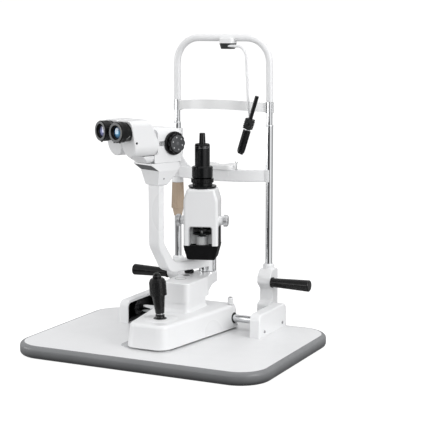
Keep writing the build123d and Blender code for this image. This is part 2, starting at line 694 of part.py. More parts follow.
def magnification_drum():
    centre = (-drum_reach, scope_axis_height)
    drum = rod_x(drum_r, (-30.5, 30.5), *centre) + rod_x(9, (-34, 34), *centre)
    drum -= reach_rod(9, (90, 200), 0, scope_axis_height)
    drum -= rod_z(9, (380, 480), 0, -drum_reach)
    scope("magnification_drum", drum)
    rim = Cylinder(26.3, 5, align=(Align.CENTER, Align.CENTER, Align.MIN))
    rim = fillet(rim.edges().sort_by(Axis.Z)[-1], 1.5)
    lobes = Circle(22.2) - PolarLocations(25.2, 10) * Circle(4.6)
    knob = rim + Pos(0, 0, 5) * extrude(lobes, 8.5, taper=4)
    knob += Pos(0, 0, 13.5) * extrude(Circle(19.4), 1)
    knob = Pos(31.5, -drum_reach, up(scope_axis_height)) * Rot(0, 90, 0) * knob
    knob -= rod_x(9, (30, 34), *centre)
    scope("drum_knobs", both_sides(knob))


def prism_profile(inset):
    """Housing outline seen by the examiner: round about its own hinge below, square above."""
    left, right = 0.4 + inset, 2 * prism_side - 0.4 - inset
    middle = up(scope_axis_height + 1)
    top = up(485 - inset)
    lowest = (prism_side, middle - prism_side + 0.4 + inset)
    round_part = ThreePointArc((left, middle), lowest, (right, middle))
    square_part = FilletPolyline((right, middle), (right, top), (left, top), (left, middle),
                                 radius=[13 - inset, 5 - inset])
    return make_face([round_part, square_part])


def prism_box(inset, depth_inset):
    across = extrude(Plane.XZ.offset(170) * prism_profile(inset), 100)
    near, far = 182.2 + depth_inset, 240 - depth_inset
    seen_from_side = [(near, 400), (near, 437), (near + 24.8, 492), (far + 17, 492), (far, 400)]
    return across & side_slab(seen_from_side, 0.0, (-5, 60))


def binocular():
    root = Pos(eyepiece_side, -eyepiece_root, 0)
    spread = root * Rot(0, 0, eyepiece_spread) * Pos(-eyepiece_side, eyepiece_root, 0)
    box = prism_box(0, 0)
    box = fillet(box.faces().sort_by(Axis.Y)[0].outer_wire().edges(), 2)
    box -= prism_box(3, 3)
    box -= reach_rod(13.98, (170, 195), prism_side, scope_axis_height + 1)
    box -= spread * reach_rod(21.5, (230, 270), eyepiece_side, eyepiece_height)
    scope("prism_housing_right", box)
    scope("prism_housing_left", mirror(box, about=Plane.YZ))
    eyepiece_axis = (eyepiece_side, eyepiece_height)
    barrel = turned_y([(-242, 16), (-242, 21.5), (-263, 21.5), (-263, 18), (-277, 18), (-277, 15.2),
                       (-270, 15.2), (-270, 13), (-250, 13), (-250, 16)], *eyepiece_axis)
    ribs = Rot(90, 0, 0) * extrude(ribbed_face(22.4, 32, 0.6), 11)
    grip = Pos(eyepiece_side, -263.4, up(eyepiece_height)) * ribs
    grip += turned_y([(-274, 17), (-274, 22.2), (-279, 22.6), (-281.5, 21.2), (-281.5, 15.6),
                      (-279.5, 14.4), (-277.4, 14.4), (-277.4, 17)], *eyepiece_axis)
    grip -= reach_rod(18.06, (240, 277.4), *eyepiece_axis)
    for name, shape in (("eyepiece", spread * barrel), ("diopter_ring", spread * grip)):
        scope(f"{name}_right", shape)
        scope(f"{name}_left", mirror(shape, about=Plane.YZ))


# ------------------------------------------------------------------ illumination unit
def lamp(name, shape):
    save(name, swing(shape, lamp_azimuth))


lamp_back, lamp_front = 44.0, 108.0


def lamp_outline(inset):
    half = lamp_half - inset
    top = lamp_top - inset
    return [(-half, lamp_bottom), (-half, 300), (-31 + inset / 2, top), (31 - inset / 2, top),
            (half, 300), (half, lamp_bottom)]


def lamp_housing():
    shoulder = [0, 26, 7, 7, 26, 0]
    shell = front_slab(lamp_outline(0), shoulder, (lamp_back + 14, lamp_front))
    front_rim = shell.faces().sort_by(Axis.Y)[0].outer_wire().edges().filter_by(above(lamp_bottom + 1))
    shell = fillet(front_rim, 6)
    shell -= front_slab(lamp_outline(3), [0, 23, 5, 5, 23, 0], (lamp_back + 10, lamp_front - 3))
    shell -= front_slab([(-27, 190), (-27, 242), (27, 242), (27, 190)], [0, 6, 6, 0],
                        (lamp_front - 10, lamp_front + 5))
    shell -= rod_x(10, (-60, 60), *slit_shaft)
    shell -= rod_z(16.6, (300, 340), 0, -lamp_reach)
    boss = rod_x(10, (lamp_half - 4, 49), *slit_shaft)
    shell += both_sides(fillet(boss.edges().sort_by(Axis.X)[-1], 2))
    lamp("lamp_housing", shell - rod_x(3.06, (-60, 60), *slit_shaft))
    back = front_slab(lamp_outline(0), shoulder, (lamp_back, lamp_back + 14))
    rear_rim = back.faces().sort_by(Axis.Y)[-1].outer_wire().edges().filter_by(above(lamp_bottom + 1))
    back = fillet(rear_rim, 4)
    back -= front_slab(lamp_outline(3), [0, 23, 5, 5, 23, 0], (lamp_back + 4, lamp_back + 20))
    lamp("lamp_rear_cover", back)

    recess = front_slab([(-27, lamp_bottom), (-27, 242), (27, 242), (27, lamp_bottom)], [0, 6, 6, 0],
                        (64, lamp_front - 1.5))
    recess -= front_slab([(-25.4, lamp_bottom - 1), (-25.4, 240.4), (25.4, 240.4),
                          (25.4, lamp_bottom - 1)], [0, 5, 5, 0], (66, lamp_front + 2))
    recess -= rod_z(8, (230, 250), 0, -lamp_reach)
    lamp("window_frame", recess + rod_z(2.5, (218.5, 241), 0, -disc_reach))


def turret_disc(height, hole_sizes):
    """Thin rotating disc with a ring of holes that pass through the light path."""
    disc = rod_z(20, (height - 1.6, height + 1.6), 0, -disc_reach)
    disc = fillet(disc.edges(), 0.6)
    disc -= rod_z(2.56, (height - 5, height + 5), 0, -disc_reach)
    for step, size in enumerate(hole_sizes):
        angle = 2 * math.pi * step / len(hole_sizes) + math.pi / 2
        disc -= rod_z(size, (height - 5, height + 5), 10 * math.cos(angle),
                      -disc_reach + 10 * math.sin(angle))
    return disc


def lamp_inside():
    lamp("aperture_disc", turret_disc(234, (4.0, 3.0, 2.2, 1.5, 1.0)))
    lamp("filter_disc", turret_disc(223, (4.0, 3.9, 3.8, 3.9, 3.8)))
    blade = reach_block((66, 86), (0.6, 12), (266, 267))
    tube = rod_z(13.5, (262, lamp_top + 4), 0, -lamp_reach)
    tube -= rod_z(12, (267, 340), 0, -lamp_reach)
    tube -= rod_z(6, (255, 340), 0, -lamp_reach)
    tube += reach_block((lamp_back + 4, 63), (-8, 8), (296, 314))
    lamp("slit_carrier", tube + both_sides(blade))
    shaft = rod_x(3, (-56, 56), *slit_shaft)
    cam = rod_x(7, (-6, 6), slit_shaft[0] - 2, slit_shaft[1])
    right = ribbed_rod_x(13.6, 26, 0.6, (49.6, 56.5), *slit_shaft)
    right += turned_x([(56.5, 0), (56.5, 12.8), (58.5, 12.2), (59.5, 10.5), (59.5, 0)], *slit_shaft)
    lamp("slit_knobs", both_sides(right) + shaft + cam)


def lamp_base():
    low = 164.0
    top_plan = [(-lamp_half - 0.8, -lamp_front + 1), (lamp_half + 0.8, -lamp_front + 1),
                (lamp_half + 0.8, -lamp_back - 1), (-lamp_half - 0.8, -lamp_back - 1)]
    seen_from_front = [(-31, low), (31, low), (39.8, lamp_bottom), (-39.8, lamp_bottom)]
    seen_from_side = [(51, low), (100, low), (107, lamp_bottom), (45, lamp_bottom)]
    cap = slab_z(top_plan, 7, (low, lamp_bottom))
    cap &= front_slab(seen_from_front, [6, 6, 0, 0], (40, 112))
    cap &= side_slab(seen_from_side, [6, 6, 0, 0], (-45, 45))
    cap -= reach_block((58, 94), (-26, 26), (low + 4, lamp_bottom + 1))
    cheek = side_slab([(60, lamp_bottom - 2), (98, lamp_bottom - 2), (94, 240), (66, 240)],
                      [0, 0, 5, 5], (lamp_half, lamp_half + 0.8))
    lamp("lamp_cap", cap + both_sides(cheek))
    sink = rod_z(15, (low + 4, low + 24), 0, -lamp_reach)
    core = rod_z(6, (low, low + 40), 0, -lamp_reach)
    for gap in range(5):
        gap_low = low + 6 + 3.4 * gap
        sink -= rod_z(16, (gap_low, gap_low + 1.6), 0, -lamp_reach) - core
    led = rod_z(5, (low + 24, low + 26), 0, -lamp_reach)
    led += rod_z(2.5, (low + 26, low + 27.2), 0, -lamp_reach)
    condenser = rod_z(14, (lamp_bottom - 4, 216), 0, -lamp_reach - 4)
    condenser -= rod_z(9, (190, 212), 0, -lamp_reach)
    lamp("light_source", sink + led + condenser)


def lamp_arm():
    hub = rod_z(23, (160.5, 187.5))
    profile = [(8, 160.5), (44, 160.5), (44, 300), (30, 300), (26, 196), (17, 187.5), (8, 187.5)]
    arm = fillet(hub.edges(), 1.5) + side_slab(profile, [0, 6, 0, 6, 8, 3, 0], (-16, 16))
    lamp("lamp_arm", arm - rod_z(spindle_r + 0.05, (150, 200)))


def lamp_head():
    axis = -lamp_reach
    flange = turned_z([(16.6, 327), (31, 327), (32, 331), (30.5, 331), (25, 329.4), (22.5, 329.4),
                       (22.5, 336.8), (16.6, 336.8)], 0, axis)
    seat = rod_z(16.6, (315, lamp_top + 1), 0, axis) - rod_z(13.5, (300, 340), 0, axis)
    plinth = rod_z(24, (lamp_top, 327), 0, axis) - rod_z(16.6, (300, 340), 0, axis)
    ring = ribbed_rod_z(25.4, 40, 0.7, (338.2, 347.4), 0, axis)
    ring += turned_z([(10, 337.2), (23, 337.2), (24.2, 338.2), (10, 338.2)], 0, axis)
    lamp("slit_ring", ring - rod_z(17.08, (330, 350), 0, axis))
    barrel = turned_z([(13.5, 330), (16.55, 330), (16.55, 337), (17, 337), (17, 348), (21, 348),
                       (23.6, 350.5), (23.6, 372), (22.2, 374.4), (17.5, 374.4), (17, 375),
                       (17, 422), (15.6, 425), (13, 425), (13, 331), (13.5, 331)], 0, axis)
    lamp("projection_tube", barrel + flange + seat + plinth)
    stem = turned_z([(0, 418), (13, 418), (13, 424), (7.4, 424), (6.4, 448), (5.6, 449), (0, 449)],
                    0, axis)
    notch = side_slab([(lamp_reach - 12, 426), (lamp_reach + 4.2, 426), (lamp_reach - 4.2, 441),
                       (lamp_reach - 12, 441)], 0.0, (-4.4, 4.4))
    light_bore = rod_z(4.4, (410, 430), 0, axis)
    lamp("mirror_holder", stem - notch - light_bore)


os.makedirs("parts", exist_ok=True)
for make in (table, rails, feet_and_handles, stand_fasteners, posts, head_arc, forehead_rest,
             fixation_housing, fixation_lamp, chin_rest, height_sleeve, axle, base, tower,
             joystick, scope_arm, scope_body, magnification_drum, binocular, lamp_housing,
             lamp_inside, lamp_base, lamp_arm, lamp_head):
    make()
    print("made", make.__name__)
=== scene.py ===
"""Looks for the slit lamp: finishes for every CAD node, and the small glass, metal and seam pieces.

Sizes are in millimetres until they reach a mesh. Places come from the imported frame: from boxes of
its nodes, measured in the frame of the table, the microscope or the lamp, and from its joints.
FINE is the number of steps round a large turned piece.
"""
import json
import math

import bmesh
import bpy
from mathutils import Matrix, Vector


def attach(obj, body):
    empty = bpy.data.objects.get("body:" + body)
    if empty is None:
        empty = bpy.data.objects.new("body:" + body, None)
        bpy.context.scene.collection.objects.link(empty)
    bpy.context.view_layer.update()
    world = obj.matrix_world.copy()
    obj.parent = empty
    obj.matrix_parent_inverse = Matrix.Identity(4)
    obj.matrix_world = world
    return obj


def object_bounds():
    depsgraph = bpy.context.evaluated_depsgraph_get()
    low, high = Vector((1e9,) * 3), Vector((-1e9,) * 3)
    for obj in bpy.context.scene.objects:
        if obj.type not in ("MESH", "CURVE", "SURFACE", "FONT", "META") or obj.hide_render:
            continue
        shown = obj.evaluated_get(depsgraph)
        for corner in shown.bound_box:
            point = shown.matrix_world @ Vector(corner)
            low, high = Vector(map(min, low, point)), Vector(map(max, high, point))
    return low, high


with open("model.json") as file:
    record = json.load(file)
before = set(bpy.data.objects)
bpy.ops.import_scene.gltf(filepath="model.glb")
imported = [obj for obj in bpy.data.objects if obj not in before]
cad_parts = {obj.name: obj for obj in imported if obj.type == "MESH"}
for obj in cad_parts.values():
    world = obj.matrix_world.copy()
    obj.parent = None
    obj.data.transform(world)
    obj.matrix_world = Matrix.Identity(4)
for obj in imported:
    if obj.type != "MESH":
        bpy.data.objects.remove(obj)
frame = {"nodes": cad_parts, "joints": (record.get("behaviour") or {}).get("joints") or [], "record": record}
cad_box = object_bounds()

MM = 0.001
SIGNS = {"right": 1, "left": -1}
FINE = 72
JOINTS = {joint["name"]: joint for joint in frame["joints"]}
SLOTS = {part["node"]: part["material_slot"] for part in frame["record"]["subparts"]}


# ------------------------------------------------------------------ places
def basis(origin, x_axis, z_axis):
    """Matrix with its origin and X and Z directions given, in metres."""
    z = Vector(z_axis).normalized()
    y = z.cross(Vector(x_axis)).normalized()
    x = y.cross(z)
    matrix = Matrix((x, y, z)).transposed().to_4x4()
    matrix.translation = origin
    return matrix


TABLE = Matrix.Identity(4)
PIVOT = Vector(JOINTS["microscope_swing"]["pos_m"]) * Vector((1, 1, 0))
SCOPE = basis(PIVOT, JOINTS["drum_turn"]["axis"], (0, 0, 1))
LAMP = basis(PIVOT, JOINTS["slit_width"]["axis"], (0, 0, 1))


def corners(node, local=TABLE):
    """All vertices of a node in a local frame, in millimetres."""
    turned = local.inverted()
    return [turned @ vertex.co / MM for vertex in frame["nodes"][node].data.vertices]


def span(node, local=TABLE):
    """Lowest and highest corner of a node in a local frame, in millimetres."""
    points = corners(node, local)
    low = Vector([min(point[axis] for point in points) for axis in range(3)])
    high = Vector([max(point[axis] for point in points) for axis in range(3)])
    return low, high


def spot(local, position, z_axis=(0, 0, 1), x_axis=(1, 0, 0)):
    """Place at a position in a local frame, with its own Z and X directions there."""
    return local @ basis(Vector(position) * MM, x_axis, z_axis)


def outward(degrees):
    """Unit vector at an angle round the Z axis."""
    angle = math.radians(degrees)
    return Vector((math.cos(angle), math.sin(angle), 0.0))


# ------------------------------------------------------------------ finishes
class Finish:
    """A Principled material whose colour, gloss and relief vary over the surface."""

    def __init__(self, name, color, roughness, metallic=0.0, **sockets):
        """Further sockets are named in small letters, such as coat_weight."""
        self.color = color
        self.material = bpy.data.materials.new(name)
        self.material.use_nodes = True
        self.nodes = self.material.node_tree.nodes
        self.links = self.material.node_tree.links
        self.shader = self.nodes["Principled BSDF"]
        self.set("Base Color", (*color, 1.0))
        self.set("Roughness", roughness)
        self.set("Metallic", metallic)
        self.roughness = roughness
        for socket, value in sockets.items():
            self.set(socket.replace("_", " ").title().replace("Ior", "IOR"), value)
        self.place = self.add("ShaderNodeTexCoord").outputs["Object"]
        self.relief = None

    def set(self, socket, value):
        self.shader.inputs[socket].default_value = value

    def add(self, kind, **settings):
        """New shader node with its settings."""
        node = self.nodes.new(kind)
        for name, value in settings.items():
            setattr(node, name, value)
        return node

    def join(self, source, target):
        self.links.new(source, target)

    def noise(self, scale, detail, stretch=(1, 1, 1)):
        """Noise from 0 to 1, finer along the axes that are stretched."""
        mapping = self.add("ShaderNodeMapping")
        mapping.inputs["Scale"].default_value = stretch
        self.join(self.place, mapping.inputs["Vector"])
        texture = self.add("ShaderNodeTexNoise")
        texture.inputs["Scale"].default_value = scale
        texture.inputs["Detail"].default_value = detail
        self.join(mapping.outputs["Vector"], texture.inputs["Vector"])
        return texture.outputs["Fac"]

    def waves(self, scale):
        """Bands one above the other."""
        texture = self.add("ShaderNodeTexWave", bands_direction="Z")
        texture.inputs["Scale"].default_value = scale
        self.join(self.place, texture.inputs["Vector"])
        return texture.outputs["Fac"]

    def remap(self, value, source, target):
        """Smooth step from one range of values to another."""
        node = self.add("ShaderNodeMapRange", interpolation_type="SMOOTHSTEP")
        for socket, number in zip(("From Min", "From Max", "To Min", "To Max"), source + target):
            node.inputs[socket].default_value = number
        self.join(value, node.inputs["Value"])
        return node.outputs["Result"]

    def tint(self, mask, color):
        """Mix another colour over what the base colour is so far."""
        mix = self.add("ShaderNodeMix", data_type="RGBA")
        base = self.shader.inputs["Base Color"]
        if base.is_linked:
            self.join(base.links[0].from_socket, mix.inputs[6])
        else:
            mix.inputs[6].default_value = (*self.color, 1.0)
        mix.inputs[7].default_value = (*color, 1.0)
        self.join(mask, mix.inputs[0])
        self.join(mix.outputs[2], base)
        return self

    def clouds(self, scale, depth, detail=4.0):
        """Faint uneven tone, as paint and moulded plastic have."""
        darker = [channel * (1 - depth) for channel in self.color]
        return self.tint(self.remap(self.noise(scale, detail), (0.3, 0.75), (0.0, 1.0)), darker)

    def gloss(self, scale, spread, stretch=(1, 1, 1), detail=3.0):
        """Roughness that wanders by the spread."""
        around = (max(self.roughness - spread, 0.02), self.roughness + spread)
        value = self.remap(self.noise(scale, detail, stretch), (0.3, 0.7), around)
        self.join(value, self.shader.inputs["Roughness"])
        return self

    def bump(self, height, strength, depth):
        """Relief of a depth in millimetres, on top of the relief so far."""
        node = self.add("ShaderNodeBump")
        node.inputs["Strength"].default_value = strength
        node.inputs["Distance"].default_value = depth * MM
        self.join(height, node.inputs["Height"])
        if self.relief:
            self.join(self.relief, node.inputs["Normal"])
        self.relief = node.outputs["Normal"]
        self.join(self.relief, self.shader.inputs["Normal"])
        return self

    def grain(self, scale, depth, stretch=(1, 1, 1)):
        return self.bump(self.noise(scale, 2.0, stretch), 0.6, depth)

    def worn_edges(self, width, color, strength):
        """Another tone along sharp edges, over a width in millimetres."""
        bevel = self.add("ShaderNodeBevel", samples=4)
        bevel.inputs["Radius"].default_value = width * MM
        dot = self.add("ShaderNodeVectorMath", operation="DOT_PRODUCT")
        self.join(bevel.outputs["Normal"], dot.inputs[0])
        self.join(self.add("ShaderNodeNewGeometry").outputs["Normal"], dot.inputs[1])
        return self.tint(self.remap(dot.outputs["Value"], (0.7, 0.995), (strength, 0.0)), color)

    def crease_shade(self, reach, color, strength):
        """Painted shade where surfaces meet: darker in the hollows, from how near other surfaces are."""
        shade = self.add("ShaderNodeAmbientOcclusion", samples=12, only_local=True)
        shade.inputs["Distance"].default_value = reach * MM
        return self.tint(self.remap(shade.outputs["AO"], (0.35, 0.85), (strength, 0.0)), color)


def enamel(name, color, roughness=0.3):
    """Sprayed and baked paint: a trace of orange peel, faint clouds and greyer edges."""
    finish = Finish(name, color, roughness, coat_weight=0.2, coat_roughness=0.12)
    grey = [channel * 0.8 for channel in color]
    finish.clouds(4.0, 0.015, 1.0).worn_edges(0.5, grey, 0.3)
    return finish.gloss(5.0, 0.03, detail=0.0).grain(420.0, 0.004)


def moulded(name, color, roughness, depth=0.012, shine=0.3):
    """Moulded plastic or rubber with a fine grain and rubbed edges."""
    rubbed = [min(channel * 1.8 + 0.015, 1.0) for channel in color]
    finish = Finish(name, color, roughness, specular_ior_level=shine)
    finish.clouds(40.0, 0.18).worn_edges(0.35, rubbed, 0.5)
    return finish.gloss(120.0, 0.08).grain(1500.0, depth)


def turned_metal(name, color, roughness, stretch=(1, 1, 14)):
    """Metal with fine tool marks across the stretched direction."""
    finish = Finish(name, color, roughness, 1.0).clouds(50.0, 0.12)
    bright = [min(channel * 1.25, 1.0) for channel in color]
    finish.worn_edges(0.25, bright, 0.5).gloss(260.0, 0.07, stretch)
    return finish.grain(700.0, 0.012, stretch)


def anodised(name, color, roughness):
    """Black turned aluminium, rubbed grey on its edges."""
    finish = Finish(name, color, roughness, specular_ior_level=0.32)
    finish.clouds(60.0, 0.25).worn_edges(0.3, (0.10, 0.10, 0.105), 0.6)
    return finish.gloss(200.0, 0.05, (1, 1, 8)).grain(1300.0, 0.004, (1, 1, 5))


def laminate():
    """Board top: matt melamine with a dense pearl speckle."""
    finish = Finish("laminate", (0.77, 0.775, 0.78), 0.34, coat_weight=0.1, coat_roughness=0.3)
    speckle = finish.remap(finish.noise(900.0, 1.0), (0.52, 0.75), (0.0, 0.35))
    finish.clouds(5.0, 0.03).tint(speckle, (0.68, 0.685, 0.69))
    return finish.gloss(30.0, 0.05).grain(650.0, 0.02)


def edging():
    """Soft PVC bullnose with faint drawn lines along it and scuffs, and painted shade darkening it towards
    its bottom edge.
    """
    finish = Finish("edge_band", (0.20, 0.205, 0.21), 0.42)
    scuffs = finish.remap(finish.noise(70.0, 5.0, (1, 1, 6)), (0.6, 0.78), (0.0, 0.3))
    height = finish.add("ShaderNodeSeparateXYZ")
    finish.join(finish.place, height.inputs[0])
    # Painted shade: the band grows darker towards its bottom edge, standing in for the light that does not
    # reach it.
    lower_shade_mask = finish.remap(height.outputs["Z"], (0.0, 24.0 * MM), (1.0, 0.0))
    finish.clouds(9.0, 0.1).tint(scuffs, (0.30, 0.305, 0.31)).tint(lower_shade_mask, (0.022, 0.023, 0.025))
    return finish.gloss(40.0, 0.08).grain(900.0, 0.03, (0.15, 0.15, 4)).grain(1800.0, 0.02)


def tan_sleeve():
    """Tan height sleeve, with painted shade darkening its flutes."""
    finish = Finish("sleeve_tan", (0.50, 0.39, 0.29), 0.5).clouds(30.0, 0.12)
    # Painted shade darkens the flutes.
    finish.crease_shade(2.2, (0.22, 0.15, 0.10), 0.9).worn_edges(0.4, (0.62, 0.50, 0.39), 0.45)
    return finish.gloss(90.0, 0.07).grain(1400.0, 0.02)


def chrome(name="chrome", roughness=0.07):
    """Polished plate with hairline wiping marks along its length."""
    finish = Finish(name, (0.80, 0.81, 0.82), roughness, 1.0)
    finish.clouds(25.0, 0.05).gloss(500.0, 0.035, (1, 1, 0.04))
    return finish.grain(900.0, 0.003, (1, 1, 0.03))


def lens_with_painted_reflection(name, heart, rim, radius):
    """Coated glass with a painted reflection: bright at its heart and falling to black at the rim."""
    finish = Finish(name, heart, 0.05, coat_weight=1.0, coat_roughness=0.02)
    reach = radius * MM
    # Painted reflection: the bright heart sits a little off centre.
    off_centre = (-0.16 * reach, 0.10 * reach, 0.0)
    near_black = (0.004, 0.005, 0.007)
    flat = finish.add("ShaderNodeVectorMath", operation="MULTIPLY_ADD")
    flat.inputs[1].default_value = (1.0, 1.0, 0.0)
    flat.inputs[2].default_value = off_centre
    length = finish.add("ShaderNodeVectorMath", operation="LENGTH")
    finish.join(finish.place, flat.inputs[0])
    finish.join(flat.outputs["Vector"], length.inputs[0])
    away = length.outputs["Value"]
    finish.tint(finish.remap(away, (0.10 * reach, 0.70 * reach), (0.0, 1.0)), rim)
    finish.tint(finish.remap(away, (0.70 * reach, 1.05 * reach), (0.0, 1.0)), near_black)
    return finish.gloss(80.0, 0.02)


def knurled_grip():
    """Joystick grip: grooves round it cross the moulded ribs."""
    finish = moulded("knurled_grip", (0.005, 0.005, 0.0055), 0.24, 0.004, shine=0.25)
    return finish.bump(finish.waves(150.0), 0.7, 0.4)


FINISHES = {
    "laminate": laminate(),
    "edge_band": edging(),
    "slide_plate": turned_metal("slide_plate", (0.55, 0.56, 0.57), 0.3, (12, 1, 1)),
    "white_enamel": enamel("white_enamel", (0.81, 0.815, 0.82)),
    "white_plastic": enamel("white_plastic", (0.83, 0.835, 0.835), 0.38),
    "steel": turned_metal("steel", (0.42, 0.42, 0.43), 0.28),
    "chrome": chrome(),
    "black_grip": moulded("black_grip", (0.005, 0.005, 0.0055), 0.2, 0.004, shine=0.3),
    "black_rubber": moulded("black_rubber", (0.005, 0.005, 0.0055), 0.36, 0.02, shine=0.22),
    "black_anodised": anodised("black_anodised", (0.004, 0.0045, 0.005), 0.2),
    "dark_plastic": moulded("dark_plastic", (0.028, 0.031, 0.029), 0.5, 0.05),
    "grey_lining": moulded("grey_lining", (0.50, 0.505, 0.51), 0.5, 0.02),
    "sleeve_tan": tan_sleeve(),
    "bright_knob": turned_metal("bright_knob", (0.66, 0.665, 0.67), 0.33, (6, 6, 1)),
}
PALE_METAL = turned_metal("pale_metal", (0.72, 0.73, 0.74), 0.22)
DOT_METAL = turned_metal("dot_metal", (0.45, 0.455, 0.46), 0.3)
SHADE_GREY = moulded("shade_grey", (0.105, 0.108, 0.112), 0.5)
# Mid grey for seams and plug rims, and for the painted shade behind the prism housings.
GREY_TRIM_AND_SHADE = moulded("grey_trim_and_shade", (0.36, 0.365, 0.37), 0.5)
SEAM_GREY = moulded("seam", (0.19, 0.195, 0.20), 0.6)
PALE_PAINT = enamel("index_paint", (0.75, 0.76, 0.74), 0.4)
DIAL_GREY = moulded("dial_grey", (0.062, 0.064, 0.067), 0.42, 0.05)
CUP_GREY = moulded("eyecup_grey", (0.175, 0.178, 0.18), 0.5, 0.03)
SATIN = moulded("satin_white", (0.62, 0.63, 0.63), 0.35)
# Glass with painted reflections; the right and left eye lenses take different painted tints.
GLASS = lens_with_painted_reflection("coated_glass_painted_reflection", (0.03, 0.05, 0.06), (0.012, 0.02, 0.03), 14.0)
AZURE_REFLECTION = lens_with_painted_reflection("azure_painted_reflection", (0.07, 0.36, 0.62), (0.012, 0.075, 0.17), 14.4)
VIOLET_REFLECTION = lens_with_painted_reflection("violet_painted_reflection", (0.20, 0.23, 0.50), (0.045, 0.05, 0.13), 14.4)
MIRROR = chrome("mirror_silver", 0.03)
BLACKENED = turned_metal("blackened_steel", (0.03, 0.03, 0.032), 0.42)
OWN_FINISHES = {
    "joystick_sleeve": knurled_grip(),
    "rails": BLACKENED,
    "gear_wheels": BLACKENED,
    "lamp_cap": moulded("cap_black", (0.003, 0.003, 0.0035), 0.55, 0.02, shine=0.12),
    "light_source": SATIN,
    "paper_pins": SATIN,
}

for node, cad_object in frame["nodes"].items():
    node_finish = OWN_FINISHES.get(node, FINISHES[SLOTS[node]])
    cad_object.data.materials.clear()
    cad_object.data.materials.append(node_finish.material)


# ------------------------------------------------------------------ mesh helpers
def finish_piece(piece, finish, body, bevel=0.0):
    """Smooth, soften, paint and hang a new piece on its body."""
    mesh = piece.data
    if piece.type == "MESH":
        for polygon in mesh.polygons:
            polygon.use_smooth = True
        mesh.set_sharp_from_angle(angle=math.radians(32))
    if bevel:
        modifier = piece.modifiers.new("soft_edges", "BEVEL")
        modifier.width = bevel * MM
        modifier.segments = 3
        modifier.limit_method = "ANGLE"
    mesh.materials.append(finish.material)
    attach(piece, body)
    return piece


def mesh_piece(name, vertices, faces, place):
    """New object from vertices in millimetres, its doubles merged and its faces turned outwards."""
    mesh = bpy.data.meshes.new(name)
    mesh.from_pydata([Vector(vertex) * MM for vertex in vertices], [], faces)
    solid = bmesh.new()
    solid.from_mesh(mesh)
    bmesh.ops.remove_doubles(solid, verts=solid.verts, dist=1e-7)
    bmesh.ops.recalc_face_normals(solid, faces=solid.faces)
    solid.to_mesh(mesh)
    solid.free()
    piece = bpy.data.objects.new(name, mesh)
    bpy.context.scene.collection.objects.link(piece)
    piece.matrix_world = place
    return piece


def lathe(name, points, place, finish, body, bevel=0.0, steps=64, closed=False):
    """Solid of revolution about the place's Z axis, from (radius, z) points.

    A closed outline makes a ring; an open one starts and ends on the axis.
    """
    vertices = []
    for step in range(steps):
        angle = 2 * math.pi * step / steps
        vertices += [(r * math.cos(angle), r * math.sin(angle), z) for r, z in points]
    count = len(points)
    spans = count if closed else count - 1
    faces = []
    for step in range(steps):
        here, there = step * count, (step + 1) % steps * count
        for index in range(spans):
            after = (index + 1) % count
            faces.append((here + index, there + index, there + after, here + after))
    piece = mesh_piece(name, vertices, faces, place)
    return finish_piece(piece, finish, body, bevel)


def slab(name, outline, thickness, place, finish, body, bevel=0.0):
    """Plate with an (x, y) outline in the place's frame, raised along its Z."""
    count = len(outline)
    vertices = [(x, y, 0.0) for x, y in outline] + [(x, y, thickness) for x, y in outline]
    faces = [tuple(range(count))[::-1], tuple(range(count, 2 * count))]
    for index in range(count):
        after = (index + 1) % count
        faces.append((index, after, count + after, count + index))
    piece = mesh_piece(name, vertices, faces, place)
    return finish_piece(piece, finish, body, bevel)


def dome(radius, low, high):
    """Profile of a shallow dome on a short cylinder, from its crown down and closed below."""
    steps, skirt = 8, 1.0
    points = []
    for step in range(steps + 1):
        angle = math.pi / 2 * step / steps
        points.append((radius * math.sin(angle), low + (high - low) * math.cos(angle)))
    return points + [(radius, low - skirt), (0.0, low - skirt)]


def screw(name, local, position, direction, radius, finish, body, height=0.9):
    """Cap head with a round socket, standing on an upright surface."""
    place = spot(local, position, direction, (0.2, 0.3, 1.0))
    profile = [(0.0, height * 0.35), (radius * 0.48, height * 0.35), (radius * 0.52, height),
               (radius * 0.86, height), (radius, height * 0.75), (radius, -0.6), (0.0, -0.6)]
    lathe(name, profile, place, finish, body, 0.06, steps=36)


def hull(points):
    """Convex hull of plane points, in order."""
    points = sorted(set((round(x, 3), round(y, 3)) for x, y in points))

    def half(sequence):
        chain = []
        for point in sequence:
            while len(chain) > 1:
                (ax, ay), (bx, by) = chain[-2], chain[-1]
                if (bx - ax) * (point[1] - ay) - (by - ay) * (point[0] - ax) > 0:
                    break
                chain.pop()
            chain.append(point)
        return chain[:-1]

    return half(points) + half(reversed(points))


def seam(name, node, local, axis, level, body, width):
    """Shadow line round a node's outline where it crosses a level of its local frame."""
    near = 0.3
    first, second = [index for index in range(3) if index != axis]
    on_level = [point for point in corners(node, local) if abs(point[axis] - level) < near]
    ring = hull([(point[first], point[second]) for point in on_level])
    curve = bpy.data.curves.new(name, "CURVE")
    curve.dimensions = "3D"
    curve.bevel_depth = width * MM
    curve.bevel_resolution = 2
    spline = curve.splines.new("POLY")
    spline.points.add(len(ring) - 1)
    spline.use_cyclic_u = True
    for target, along in zip(spline.points, ring):
        point = Vector((level, level, level))
        point[first], point[second] = along
        target.co = (*(point * MM), 1.0)
    piece = bpy.data.objects.new(name, curve)
    bpy.context.scene.collection.objects.link(piece)
    piece.matrix_world = local
    return finish_piece(piece, SEAM_GREY, body)


